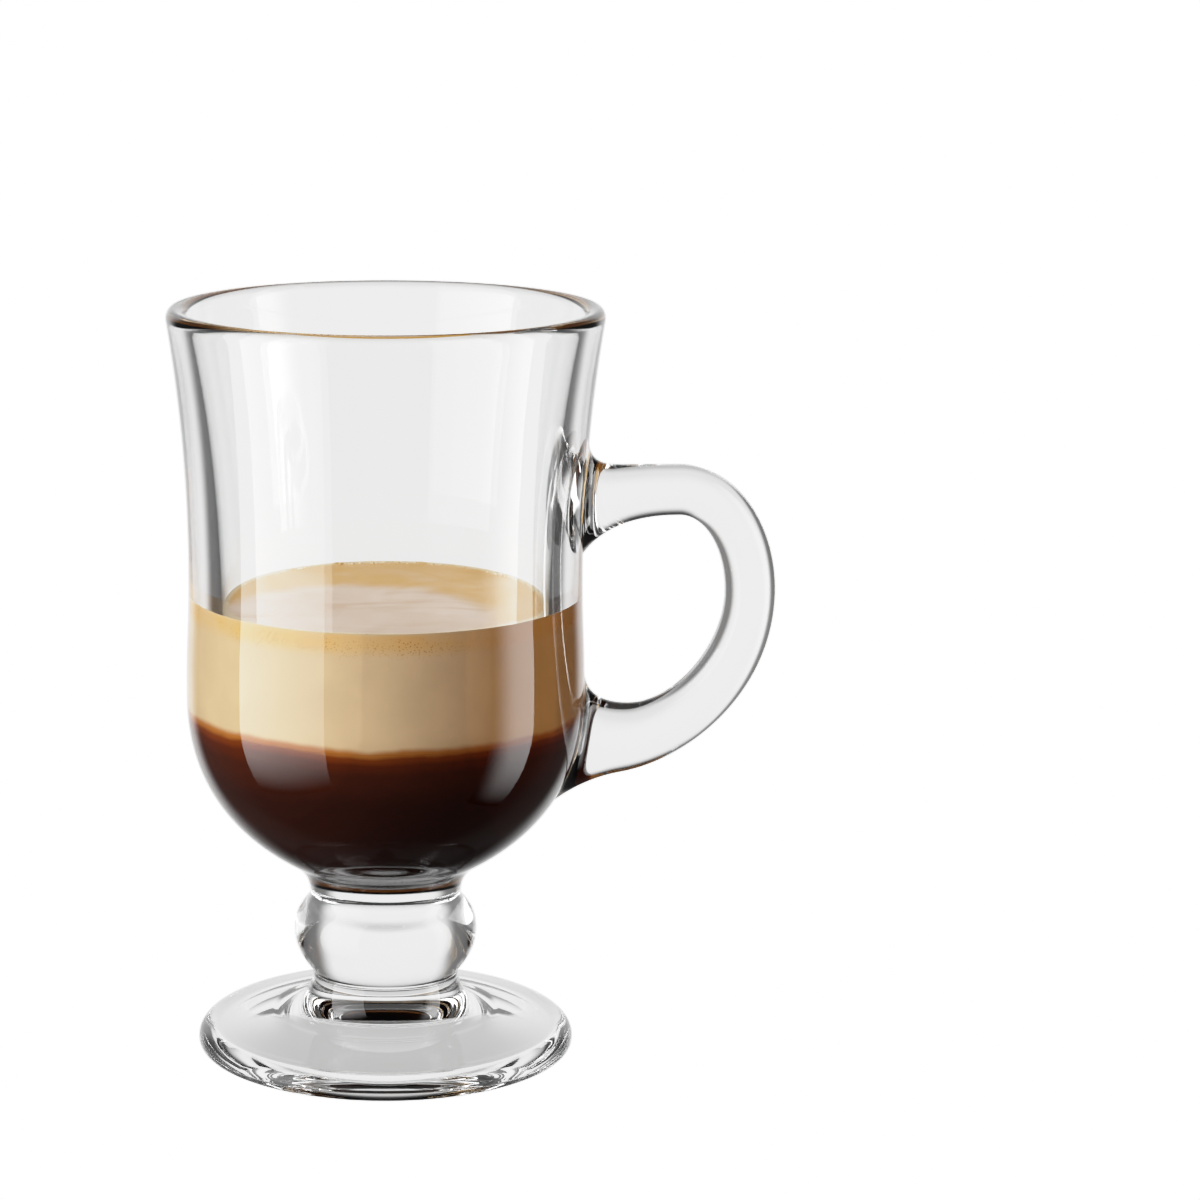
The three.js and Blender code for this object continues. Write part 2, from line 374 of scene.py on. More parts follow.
class NodeSheet:
    """Adds nodes to one material, group or world, with their values and links."""

    def __init__(self, tree: NodeTree) -> None:
        """Takes the tree that the nodes go into."""
        self.tree = tree

    def add(self, kind: str, inputs: dict | None = None, **settings: object) -> Node:
        """Adds a node.

        Args:
            kind: The node's type.
            inputs: For an input's name or number, a value to set, or a node or socket to link.
            settings: The node's own options.

        Returns:
            The node.
        """
        node = self.tree.nodes.new(kind)
        for name, value in settings.items():
            setattr(node, name, value)
        for name, value in (inputs or {}).items():
            socket = node.inputs[name]
            if isinstance(value, Node):
                self.tree.links.new(value.outputs[0], socket)
            elif isinstance(value, NodeSocket):
                self.tree.links.new(value, socket)
            else:
                socket.default_value = (*value, 1.0) if socket.type == "RGBA" else value
        return node

    def math(self, operation: str, *values: object) -> NodeSocket:
        """Adds a sum on numbers, nodes or sockets and gives its result."""
        return self.add("ShaderNodeMath", dict(enumerate(values)), operation=operation).outputs[0]

    def times(self, first: object, *others: object) -> NodeSocket:
        """Multiplies numbers, nodes or sockets and gives the product."""
        return reduce(partial(self.math, "MULTIPLY"), others, first)

    def vector(self, operation: str, *values: object) -> NodeSocket:
        """Adds a sum on vectors and gives its result."""
        node = self.add("ShaderNodeVectorMath", dict(enumerate(values)), operation=operation)
        return node.outputs["Value" if operation in ("LENGTH", "DOT_PRODUCT") else "Vector"]

    def scaled(self, vector: object, factor: object) -> NodeSocket:
        """Makes a vector longer or shorter by a factor and gives the result."""
        inputs = {0: vector, "Scale": factor}
        return self.add("ShaderNodeVectorMath", inputs, operation="SCALE").outputs[0]

    def spot(self) -> NodeSocket:
        """Gives the point that is looked at, in the piece's own frame."""
        return self.add("ShaderNodeTexCoord").outputs["Object"]

    def cloud(self, spot: object, grain: Grain) -> NodeSocket:
        """Adds a cloudy pattern and gives its value from 0 to 1."""
        inputs = {"Scale": grain.scale, "Detail": grain.detail, "Distortion": grain.distortion}
        return self.add("ShaderNodeTexNoise", {"Vector": spot, **inputs}).outputs[0]

    def waver(self, cloud: NodeSocket, width: float) -> NodeSocket:
        """Turns a cloudy pattern into a shift to both sides and gives it."""
        return self.times(self.math("SUBTRACT", cloud, 0.5), width)

    def fade(
        self, value: object, start: float, end: float, low: object = 0.0, high: object = 1.0
    ) -> NodeSocket:
        """Maps a value smoothly from one range to another and gives the result."""
        inputs = {"Value": value, "From Min": start, "From Max": end, "To Min": low, "To Max": high}
        return self.add("ShaderNodeMapRange", inputs, interpolation_type="SMOOTHSTEP").outputs[0]

    def seldom(self, depth: str) -> NodeSocket:
        """Gives 1 for a ray that has had no turn of a kind on its way, and 0 for one that has."""
        return self.math("LESS_THAN", self.add("ShaderNodeLightPath").outputs[depth], 0.5)

    def straight_through(self) -> NodeSocket:
        """Gives 1 for a view that glass only bends on its way, and 0 for one that it mirrors."""
        return self.seldom("Glossy Depth")

    def by_glass_alone(self) -> NodeSocket:
        """Gives 1 for light that only glass has turned before the eye, and 0 for light on the drink."""
        return self.seldom("Diffuse Depth")

    def blend(self, share: object, first: object, second: object) -> NodeSocket:
        """Mixes two colours, which are inputs 6 and 7 of a mix, and gives the result."""
        return self.add("ShaderNodeMix", {0: share, 6: first, 7: second}, data_type="RGBA").outputs[2]

    def between(self, share: object, first: object, second: object) -> NodeSocket:
        """Mixes two numbers, which are inputs 2 and 3 of a mix, and gives the result."""
        return self.add("ShaderNodeMix", {0: share, 2: first, 3: second}, data_type="FLOAT").outputs[0]

    def either(self, share: object, first: Node, second: Node) -> Node:
        """Mixes two shaders."""
        return self.add("ShaderNodeMixShader", {0: share, 1: first, 2: second})

    def surface(self, shader: Node) -> None:
        """Makes a shader the look of the material."""
        self.add("ShaderNodeOutputMaterial", {"Surface": shader})

    def ramp(self, share: NodeSocket, stops: Sequence[tuple[float, Colour]]) -> NodeSocket:
        """Adds a colour ramp and gives its colour.

        Args:
            share: The value that picks the colour.
            stops: Places from 0 to 1 with their colours.

        Returns:
            The colour socket.
        """
        node = self.add("ShaderNodeValToRGB", {0: share})
        node.color_ramp.interpolation = "EASE"
        elements = node.color_ramp.elements
        while len(elements) < len(stops):
            elements.new(1.0)
        for element, (place, colour) in zip(elements, stops):
            element.position = place
            element.color = (*colour, 1.0)
        return node.outputs[0]


def new_material(name: str) -> tuple[Material, NodeSheet]:
    """Makes an empty node material.

    Args:
        name: The material's name.

    Returns:
        The material and the sheet for its nodes.
    """
    material = bpy.data.materials.new(name)
    material.use_nodes = True
    material.node_tree.nodes.clear()
    return material, NodeSheet(material.node_tree)


def new_group(kind: str, name: str, inputs: dict[str, str], outputs: dict[str, str]) -> NodeSheet:
    """Makes an empty node group.

    Args:
        kind: What the group works on, Shader or Geometry.
        name: The group's name.
        inputs: Names of the inputs with what they carry.
        outputs: Names of the outputs with what they carry.

    Returns:
        The sheet for the group's nodes.
    """
    tree = bpy.data.node_groups.new(name, f"{kind}NodeTree")
    for way, sockets in (("INPUT", inputs), ("OUTPUT", outputs)):
        for label, carried in sockets.items():
            tree.interface.new_socket(label, in_out=way, socket_type=f"NodeSocket{carried}")
    return NodeSheet(tree)


@dataclass(frozen=True)
class ClearGlass:
    """Colourless pressed glass, fire polished, with the faint ripple that its mould leaves."""

    name: str
    ripple_size: float = 9.0
    ripple_height: float = 0.004
    tint: Colour = (0.985, 0.987, 0.985)
    refraction: float = 1.5
    shade: float = 0.93

    def make(self, ripple: NodeTree) -> Material:
        """Makes the glass, which lets light through to what stands behind it.

        Args:
            ripple: The shared group that gives the height of the ripple.

        Returns:
            The material.
        """
        material, sheet = new_material(self.name)
        relief = sheet.add("ShaderNodeGroup", {"Size": self.ripple_size}, node_tree=ripple)
        bump = sheet.add("ShaderNodeBump", {"Height": relief, "Distance": self.ripple_height * MM})
        looks = {"Base Color": self.tint, "Roughness": 0.0, "IOR": self.refraction, "Normal": bump}
        glass = sheet.add("ShaderNodeBsdfPrincipled", {**looks, "Transmission Weight": 1.0})
        clear = sheet.add("ShaderNodeBsdfTransparent", {"Color": (self.shade,) * 3})
        path = sheet.add("ShaderNodeLightPath")
        sheet.surface(sheet.either(path.outputs["Is Shadow Ray"], glass, clear))
        return material


@dataclass(frozen=True)
class FusedJoint:
    """The place where glass runs on into glass, or into the drink that wets it, with nothing to see."""

    name: str = "fused_joint"

    def make(self) -> Material:
        """Makes the joint's material.

        Returns:
            The material.
        """
        material, sheet = new_material(self.name)
        sheet.surface(sheet.add("ShaderNodeBsdfTransparent"))
        return material


def ripple_group() -> NodeTree:
    """Makes the shared ripple of pressed glass.

    Returns:
        The group, with the ripple's size in millimetres and its height from 0 to 1.
    """
    sheet = new_group("Shader", "pressed_ripple", {"Size": "Float"}, {"Height": "Float"})
    scale = sheet.math("DIVIDE", 1.0 / MM, sheet.add("NodeGroupInput"))
    wave = sheet.add("ShaderNodeTexNoise", {"Vector": sheet.spot(), "Scale": scale, "Detail": 1.0})
    sheet.add("NodeGroupOutput", {"Height": wave})
    return sheet.tree


def place_group() -> NodeTree:
    """Makes the shared measure of a point of the drink: its radius and height in millimetres.

    Returns:
        The group.
    """
    sheet = new_group("Shader", "place_in_cup", {}, {"Radius": "Float", "Height": "Float"})
    spot = sheet.spot()
    reach = sheet.vector("LENGTH", sheet.vector("MULTIPLY", spot, LEVEL_PLANE))
    height = sheet.add("ShaderNodeSeparateXYZ", {0: spot}).outputs["Z"]
    results = {"Radius": sheet.math("DIVIDE", reach, MM), "Height": sheet.math("DIVIDE", height, MM)}
    sheet.add("NodeGroupOutput", results)
    return sheet.tree


@dataclass(frozen=True)
class LayeredDrink:
    """The colours of espresso under milk foam, which run into each other where they meet; the espresso also
    lightens towards the foam as a painted glow of light shining through the coffee.
    """

    meeting: float
    crown: float
    # The espresso stops lighten it towards the foam: from -10 to -1.9 this is painted glow of light shining
    # through the coffee, and from -0.7 up it is the real blend of espresso into foam.
    layers: tuple[tuple[float, Colour], ...] = (
        (-10.0, (0.034, 0.0078, 0.0045)),
        (-4.0, (0.056, 0.0120, 0.0055)),
        (-1.9, (0.090, 0.0165, 0.0050)),
        (-0.7, (0.18, 0.036, 0.0065)),
        (0.2, (0.42, 0.15, 0.030)),
        (1.4, (0.70, 0.508, 0.293)),
    )
    drift: float = 2.6
    drift_grain: Grain = Grain(70.0, 3.0)
    mottle_grain: Grain = Grain(130.0, 5.0)
    mottle: Fade = (0.3, 0.75, 0.95, 1.03)
    patch_grain: Grain = Grain(90.0)
    gold: Colour = (0.74, 0.44, 0.145)
    gold_from: Fade = (-4.6, -1.8)
    gold_to: Fade = (0.2, -0.5)
    gold_patches: Fade = (0.3, 0.6, 0.35, 0.9)
    pore: Colour = (0.40, 0.17, 0.035)
    pore_scale: float = 2300.0
    pore_edge: Fade = (0.34, 0.2)
    pore_from: Fade = (-5.0, -2.6)
    pore_to: Fade = (-0.4, -1.2)
    pore_patches: Fade = (0.38, 0.60, 0.12, 0.8)

    def side_group(self, place: NodeTree) -> NodeTree:
        """Makes the shared colour of the drink against the glass, by height, with the espresso's painted
        glow.

        Args:
            place: The shared measure of a point's radius and height.

        Returns:
            The group, which gives the colour.
        """
        sheet = new_group("Shader", "layers_and_glow_on_glass", {}, {"Colour": "Color"})
        spot = sheet.spot()
        height = sheet.add("ShaderNodeGroup", node_tree=place).outputs["Height"]
        level = sheet.math("ADD", height, sheet.waver(sheet.cloud(spot, self.drift_grain), self.drift))
        low, high = self.layers[0][0], self.layers[-1][0]
        share = sheet.fade(level, self.meeting + low, self.meeting + high)
        share.node.interpolation_type = "LINEAR"
        # The ramp paints the espresso's glow towards the foam, along with the real blend of the layers.
        layers = sheet.ramp(share, [((lift - low) / (high - low), colour) for lift, colour in self.layers])
        toned = sheet.scaled(layers, sheet.fade(sheet.cloud(spot, self.mottle_grain), *self.mottle))
        patch = sheet.cloud(spot, self.patch_grain)
        above = sheet.math("SUBTRACT", height, self.crown)
        rind = sheet.times(
            sheet.fade(above, *self.gold_from),
            sheet.fade(above, *self.gold_to),
            sheet.fade(patch, *self.gold_patches),
        )
        golden = sheet.blend(rind, toned, self.gold)
        pores = sheet.add("ShaderNodeTexVoronoi", {"Vector": spot, "Scale": self.pore_scale})
        dots = sheet.times(
            sheet.fade(pores.outputs["Distance"], *self.pore_edge),
            sheet.fade(above, *self.pore_from),
            sheet.fade(above, *self.pore_to),
            sheet.fade(patch, *self.pore_patches),
        )
        sheet.add("NodeGroupOutput", {"Colour": sheet.blend(dots, golden, self.pore)})
        return sheet.tree


@dataclass(frozen=True)
class DrinkOnGlass:
    """The side of a drink that wets the glass: matt, because the glass carries the gloss."""

    name: str
    roughness: float = 0.9

    def make(self, layers: NodeTree) -> Material:
        """Makes the material.

        Args:
            layers: The shared colour of the drink by height, with the espresso's painted glow.

        Returns:
            The material.
        """
        material, sheet = new_material(self.name)
        colour = sheet.add("ShaderNodeGroup", node_tree=layers)
        looks = {"Base Color": colour, "Roughness": self.roughness, "Specular IOR Level": 0.0}
        sheet.surface(sheet.add("ShaderNodeBsdfPrincipled", looks))
        return material


@dataclass(frozen=True)
class FoamCrown:
    """The open top of the foam: pale milk swirls, a golden ring of crema and a pale edge."""

    rim: float
    lean: Point = (6.0, 15.0)
    drift: float = 6.0
    drift_grain: Grain = Grain(55.0, 3.0, 1.6)
    milk: Colour = (0.74, 0.59, 0.47)
    swirl: Colour = (0.62, 0.42, 0.26)
    swirl_draw: Triple = (0.5, 1.3, 1.0)
    swirl_grain: Grain = Grain(64.0, 4.0, 1.8)
    swirl_share: Fade = (0.46, 0.70, 0.0, 0.70)
    ring: Colour = (0.68, 0.40, 0.10)
    ring_share: Fade = (-9.0, -2.0, 0.0, 0.95)
    edge: Colour = (0.80, 0.68, 0.46)
    edge_share: Fade = (-1.6, -0.5, 0.0, 0.9)
    relief_grain: Grain = Grain(1400.0)
    relief: float = 0.06
    relief_strength: float = 0.6
    gloss: Fade = (0.35, 0.65, 0.30, 0.42)
    glint: float = 0.25

    def make(self, place: NodeTree) -> Material:
        """Makes the material.

        Args:
            place: The shared measure of a point's radius and height.

        Returns:
            The material.
        """
        material, sheet = new_material("foam_crown")
        spot = sheet.spot()
        radius = sheet.add("ShaderNodeGroup", node_tree=place).outputs["Radius"]
        cloud = sheet.cloud(spot, self.drift_grain)
        drawn = sheet.add("ShaderNodeMapping", {0: spot, "Scale": self.swirl_draw})
        swirls = sheet.fade(sheet.cloud(drawn, self.swirl_grain), *self.swirl_share)
        colour = sheet.blend(swirls, self.milk, self.swirl)
        shifted = sheet.vector("ADD", spot, (self.lean[0] * MM, self.lean[1] * MM, 0.0))
        apart = sheet.vector("LENGTH", sheet.vector("MULTIPLY", shifted, LEVEL_PLANE))
        reach = sheet.math("ADD", sheet.math("DIVIDE", apart, MM), sheet.waver(cloud, self.drift))
        ring = sheet.fade(sheet.math("SUBTRACT", reach, self.rim), *self.ring_share)
        colour = sheet.blend(ring, colour, self.ring)
        edge = sheet.fade(sheet.math("SUBTRACT", radius, self.rim), *self.edge_share)
        grain = sheet.cloud(spot, self.relief_grain)
        relief = {"Height": grain, "Distance": self.relief * MM, "Strength": self.relief_strength}
        looks = {
            "Base Color": sheet.blend(edge, colour, self.edge),
            "Roughness": sheet.fade(cloud, *self.gloss),
            "IOR": WATER_REFRACTION,
            "Specular IOR Level": self.glint,
            "Normal": sheet.add("ShaderNodeBump", relief),
        }
        sheet.surface(sheet.add("ShaderNodeBsdfPrincipled", looks))
        return material


@dataclass(frozen=True)
class BubbleSkin:
    """The skin of a foam bubble: pale, glossy, and golden in patches."""

    pale: Colour = (0.86, 0.76, 0.56)
    golden: Colour = (0.70, 0.46, 0.17)
    patch_grain: Grain = Grain(420.0)
    patches: Fade = (0.4, 0.65)
    gloss: Fade = (0.35, 0.65, 0.18, 0.34)

    def make(self) -> Material:
        """Makes the material.

        Returns:
            The material.
        """
        material, sheet = new_material("bubble_skin")
        patch = sheet.cloud(sheet.spot(), self.patch_grain)
        looks = {
            "Base Color": sheet.blend(sheet.fade(patch, *self.patches), self.pale, self.golden),
            "Roughness": sheet.fade(patch, *self.gloss),
            "IOR": WATER_REFRACTION,
        }
        sheet.surface(sheet.add("ShaderNodeBsdfPrincipled", looks))
        return material


@dataclass
class GlassFoot:
    """The round foot: hollow like a bell underneath, gently domed on top, with a fillet up to the stem."""

    radius: float = 34.1
    edge: float = 4.9
    lower_round: float = 1.5
    brow_run: float = 4.0
    brow_drop: float = 3.2
    rise: float = 1.6
    fillet_run: float = 7.0
    neck_radius: float = 13.2
    hollow: float = 8.3
    hollow_flat: float = 12.0
    hollow_draw: Point = (13.0, 2.4)
    tread: float = 2.6
    spacing: float = 0.5

    def bands(self) -> list[Band]:
        """Draws the foot's profile from the middle of its underside to the middle of its top.

        Returns:
            The bands.
        """
        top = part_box("foot")[1].z / MM
        shoulder = self.edge + self.rise
        low = self.radius - self.lower_round
        brow = (self.radius - self.brow_run, self.edge - self.brow_drop)
        root = (self.neck_radius + self.fillet_run, top)
        brim = low - self.tread
        skin = (
            Path((0.0, self.hollow), (self.hollow_flat, self.hollow), self.hollow_draw, (brim, 0.0)),
            Path((brim, 0.0), (low, 0.0)),
            Arc((low, self.lower_round), (self.lower_round,) * 2, -90, 0),
            Path((self.radius, self.lower_round), (self.radius, brow[1])),
            Arc(brow, (self.brow_run, self.brow_drop), 0, 90),
            Path((brow[0], self.edge), (root[0], shoulder)),
            Arc(root, (self.fillet_run, top - shoulder), -90, -180),
        )
        joint = Path((self.neck_radius, top), (0.0, top))
        return [Band(skin, GlassFace.POLISHED, self.spacing), Band((joint,), GlassFace.FUSED)]

    def build(self, glass: Material, fused: Material) -> Object:
        """Makes the foot's mesh with its glass and its joint."""
        return turned_piece("foot_glass", self.bands(), GLASS_SIDES, [glass, fused])


@dataclass
class GlassStem:
    """The short stem, swollen into a knop between two necks."""

    lower_neck: float = 13.2
    upper_neck: float = 13.65
    knop_radius: float = 16.5
    knop_lower_half: float = 8.0
    knop_fullness: float = 0.61
    lower_neck_fullness: float = 0.12
    upper_neck_fullness: float = 0.24
    spacing: float = 0.4

    def bands(self) -> list[Band]:
        """Draws the stem's profile from its lower joint to its upper one.

        Returns:
            The bands.
        """
        base, top = (corner.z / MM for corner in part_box("stem_knop"))
        middle = (self.knop_radius, base + self.knop_lower_half)
        lower_neck, upper_neck = (self.lower_neck, base), (self.upper_neck, top)
        skin = (
            swell(lower_neck, middle, self.lower_neck_fullness, self.knop_fullness),
            swell(middle, upper_neck, self.knop_fullness, self.upper_neck_fullness),
        )
        return [
            Band((Path((0.0, base), lower_neck),), GlassFace.FUSED),
            Band(skin, GlassFace.POLISHED, self.spacing),
            Band((Path(upper_neck, (0.0, top)),), GlassFace.FUSED),
        ]

    def build(self, glass: Material, fused: Material) -> Object:
        """Makes the stem's mesh with its glass and its joints."""
        return turned_piece("stem_glass", self.bands(), GLASS_SIDES, [glass, fused])


@dataclass
class GlassBowl:
    """The bowl: a rounded underside, a slight waist and a lip that turns out to a round rim."""

    neck_radius: float = 13.65
    underside_radius: float = 17.8
    underside_lift: float = 6.4
    underside_slope: float = 30.0
    underside_run: float = 10.0
    belly_radius: float = 35.55
    belly_lift: float = 29.8
    belly_run: float = 16.0
    waist_draw: float = 0.55
    waist_lift: float = 24.5
    waist_fullness: float = 0.5
    rim_radius: float = 38.5
    rim_wall: float = 3.8
    rim_crest: float = 1.4
    rim_round: float = 1.9
    belly_wall: float = 6.35
    inside_rise: float = 30.0
    lip_run: float = 24.0
    lip_flare: float = 4.6
    floor: float = 8.2
    spacing: float = 0.9
    lip_spacing: float = 0.25
    wet_spacing: float = 1.5
    wall_spacing: float = 0.2
    joint_margin: float = 0.7
    patch_margin: float = 3.0
    patch_columns: int = 3
    patch_tolerance: float = 1e-5

    def __post_init__(self) -> None:
        """Works out the heights and the curves of the wall from the sizes."""
        self.base, self.rim = (corner.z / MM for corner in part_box("bowl"))
        self.belly = self.base + self.underside_lift + self.belly_lift
        self.waist = self.belly + self.waist_lift
        self.crest = self.rim - self.rim_round
        slope = math.radians(self.underside_slope)
        neck, hip = (self.neck_radius, self.base), (self.underside_radius, self.base + self.underside_lift)
        corner = hip[1] - (self.underside_radius - self.neck_radius) * math.tan(slope)
        lead = (
            hip[0] + self.underside_run * math.cos(slope),
            hip[1] + self.underside_run * math.sin(slope),
        )
        belly, waist = (self.belly_radius, self.belly), (self.belly_radius - self.waist_draw, self.waist)
        flare = (waist[0], (self.waist + self.crest) / 2)
        self.outside: tuple[Curve, ...] = (
            Path(neck, (self.neck_radius, corner), hip),
            Path(hip, lead, (self.belly_radius, self.belly - self.belly_run), belly),
            swell(belly, waist, self.waist_fullness, self.waist_fullness),
            Path(waist, flare, (self.rim_radius, self.crest)),
        )
        crest = (self.rim_radius - self.rim_crest, self.crest)
        self.lip: tuple[Curve, ...] = (
            Arc(crest, (self.rim_crest, self.rim_round), 0, 90),
            Arc(crest, (self.rim_wall - self.rim_crest, self.rim_round), 90, 180),
        )
        stations = [p for curve in self.outside for p in trace(curve, self.wall_spacing)]
        self.wall_radii, self.wall_heights = np.array(stations).T

    def inside(self, clearance: float = 0.0) -> tuple[Curve, Curve]:
        """Draws the inside of the wall from the middle of the floor up to the lip.

        Args:
            clearance: Distance to keep from the glass, in millimetres.

        Returns:
            The rounded floor, and the wall that is thickest at the belly and flares to the lip.
        """
        belly = self.belly_radius - self.belly_wall - clearance
        depth = self.belly - self.base - self.floor - clearance
        lip = self.rim_radius - self.rim_wall - clearance
        leave = (belly, self.belly + self.inside_rise)
        meet = (lip - self.lip_flare, self.crest - self.lip_run)
        return (
            Arc((0.0, self.belly), (belly, depth), -90, 0),
            Path((belly, self.belly), leave, meet, (lip, self.crest)),
        )

    def wall_at(self, height: float) -> float:
        """Gives the outside radius at a height."""
        return float(np.interp(height, self.wall_heights, self.wall_radii))

    def bands(self, wet_height: float) -> list[Band]:
        """Draws the bowl's profile from its joint, up the outside and down the inside.

        Args:
            wet_height: Height up to which the drink wets the inside.

        Returns:
            The bands, with the wetted glass as a joint to the drink.
        """
        floor, wall = self.inside()
        wet = share_at(wall, wet_height, 1)
        joint = Path((0.0, self.base), (self.neck_radius, self.base))
        wetted = (Stretch(wall, wet, 0), Stretch(floor, 1, 0))
        return [
            Band((joint,), GlassFace.FUSED),
            Band(self.outside, GlassFace.POLISHED, self.spacing),
            Band(self.lip, GlassFace.POLISHED, self.lip_spacing),
            Band((Stretch(wall, 1, wet),), GlassFace.POLISHED, self.spacing),
            Band(wetted, GlassFace.FUSED, self.wet_spacing),
        ]

    def build(self, footprints: Loops, wet_height: float, glass: Material, fused: Material) -> Object:
        """Makes the bowl's mesh, with the places where the handle is fused to it.

        Args:
            footprints: Loops of points on the outside wall, in millimetres.
            wet_height: Height up to which the drink wets the inside.
            glass: The glass.
            fused: The joints.

        Returns:
            The bowl.
        """
        bands = self.bands(wet_height)
        prints = [p for loop in footprints for p in loop]
        reach = max(abs(math.atan2(p.y, p.x)) for p in prints)
        half = math.ceil(reach / math.tau * GLASS_SIDES) + self.patch_columns
        low = min(p.z for p in prints) - self.patch_margin
        high = max(p.z for p in prints) + self.patch_margin
        joint = trace(bands[0].curves[0], bands[0].spacing)
        stations = [joint[-1]] + [p for curve in self.outside for p in trace(curve, self.spacing)[1:]]
        rows = [i for i, (_, z) in enumerate(stations, len(joint) - 1) if low <= z <= high]
        columns = [i % GLASS_SIDES for i in range(-half, half + 1)]
        draft = MeshDraft()
        rings = draft.turn(bands, GLASS_SIDES, dict.fromkeys(rows[:-1], frozenset(columns[:-1])))
        self.patch(draft, [[rings[row][c] for c in columns] for row in rows], footprints)
        return draft.build("bowl_glass", [glass, fused])

    def patch(self, draft: MeshDraft, grid: list[list[int]], footprints: Loops) -> None:
        """Fills the open part of the outside wall so that the footprints are edges of its faces.

        Args:
            draft: The mesh, with the wall left open here.
            grid: Point numbers of the opening, row by row from below.
            footprints: Loops of points on the wall.
        """
        numbers: list[int] = []
        flat: list[Vector] = []

        def unrolled(point: Sequence[float]) -> Vector:
            """Lays a point of the wall out flat."""
            return Vector((math.atan2(point[1], point[0]) * self.belly_radius, point[2]))

        def enter(number: int) -> int:
            """Adds a point of the mesh to the flat layout.

            Args:
                number: The point's number in the mesh.

            Returns:
                Its place in the layout.
            """
            numbers.append(number)
            flat.append(unrolled(draft.points[number]))
            return len(flat) - 1

        border = [enter(n) for n in grid[0]]
        border += [enter(row[-1]) for row in grid[1:-1]]
        border += [enter(n) for n in reversed(grid[-1])]
        border += [enter(row[0]) for row in reversed(grid[1:-1])]
        loops = [[enter(draft.point(*p)) for p in loop] for loop in footprints]
        edges = [np.array([flat[i] for i in loop]) for loop in loops]
        for number in [n for row in grid[1:-1] for n in row[1:-1]]:
            spot = np.array(unrolled(draft.points[number]))
            if not any(self.near(edge, spot) or self.within(edge, spot) for edge in edges):
                enter(number)
        laid = delaunay_2d_cdt(flat, [], [border, *loops], 1, self.patch_tolerance)
        triangles, sources = laid[2], laid[3]
        for triangle in triangles:
            corners = [sources[c][0] for c in triangle]
            middle = np.mean([flat[c] for c in corners], axis=0)
            joined = any(self.within(edge, middle) for edge in edges)
            draft.face([numbers[c] for c in corners], GlassFace.FUSED if joined else GlassFace.POLISHED)

    def near(self, edge: np.ndarray, spot: np.ndarray) -> bool:
        """Tells whether a spot is too close to a loop's points for a point of its own."""
        return bool(np.min(np.linalg.norm(edge - spot, axis=1)) < self.joint_margin)

    @staticmethod
    def within(edge: np.ndarray, spot: np.ndarray) -> bool:
        """Tells whether a spot lies inside a loop.

        Args:
            edge: The loop's points.
            spot: The spot.

        Returns:
            True inside the loop.
        """
        after = np.roll(edge, -1, axis=0)
        crosses = (edge[:, 1] > spot[1]) != (after[:, 1] > spot[1])
        rise = np.where(crosses, after[:, 1] - edge[:, 1], 1.0)
        where = edge[:, 0] + (spot[1] - edge[:, 1]) / rise * (after[:, 0] - edge[:, 0])
        return int(np.sum(crosses & (where > spot[0]))) % 2 == 1


